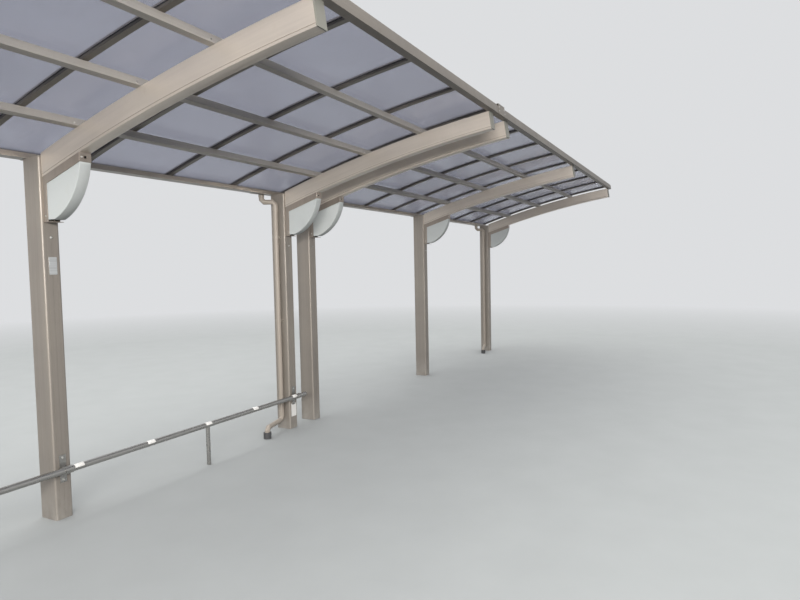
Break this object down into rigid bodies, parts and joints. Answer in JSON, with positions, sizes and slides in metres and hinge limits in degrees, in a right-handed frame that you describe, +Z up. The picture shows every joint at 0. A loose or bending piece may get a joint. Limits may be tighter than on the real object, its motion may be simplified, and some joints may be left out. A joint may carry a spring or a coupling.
{
  "type": "bike shelter",
  "caption": "Open bike shelter: a curved translucent roof cantilevered from single aluminium posts, with knee brackets, a rear gutter, downpipes and a low lean rail.",
  "frame": {"origin": "centre of the first post's foot, on the ground", "axes": "+X along the row from the first post to the last, +Y to the rear, +Z up"},
  "size_m": [8.8646, 1.9212, 2.3654],
  "materials": {
    "anodised_metal": "satin",
    "bronze_metal": "satin",
    "cover_plastic": "matte",
    "cap_plastic": "matte",
    "roof_sheet": "satin",
    "rail_steel": "satin",
    "pipe_plastic": "matte",
    "collar_plastic": "matte",
    "tag_plastic": "matte"
  },
  "bodies": {
    "root": {"post_1": "anodised_metal", "arm_1": "anodised_metal", "knee_cover_1": "cover_plastic", "post_2": "anodised_metal", "arm_2": "anodised_metal", "knee_cover_2": "cover_plastic", "post_3": "anodised_metal", "arm_3": "anodised_metal", "knee_cover_3": "cover_plastic", "post_4": "anodised_metal", "arm_4": "anodised_metal", "knee_cover_4": "cover_plastic", "post_5": "anodised_metal", "arm_5": "anodised_metal", "knee_cover_5": "cover_plastic", "post_6": "anodised_metal", "arm_6": "anodised_metal", "knee_cover_6": "cover_plastic", "purlins_1": "anodised_metal", "rafters_1": "anodised_metal", "rafter_caps_1": "anodised_metal", "roof_panels_1": "roof_sheet", "front_beam_1": "anodised_metal", "rear_beam_1": "anodised_metal", "gutter_1": "anodised_metal", "downpipe_1": "pipe_plastic", "floor_collar_1": "collar_plastic", "purlins_2": "anodised_metal", "rafters_2": "anodised_metal", "rafter_caps_2": "anodised_metal", "roof_panels_2": "roof_sheet", "front_beam_2": "anodised_metal", "rear_beam_2": "anodised_metal", "gutter_2": "anodised_metal", "downpipe_2": "pipe_plastic", "floor_collar_2": "collar_plastic", "post_caps": "anodised_metal", "arm_end_caps": "cap_plastic", "knee_brackets": "bronze_metal", "front_beam_joint": "anodised_metal", "gutter_end_plates": "anodised_metal", "gutter_collars": "anodised_metal", "beam_end_caps": "cap_plastic", "pipe_sockets": "pipe_plastic", "pipe_clips": "pipe_plastic", "lean_rail": "rail_steel", "rail_end_caps": "collar_plastic", "rail_brackets": "rail_steel", "rail_stanchions": "rail_steel", "rail_tags": "tag_plastic"}
  },
  "joints": []
}
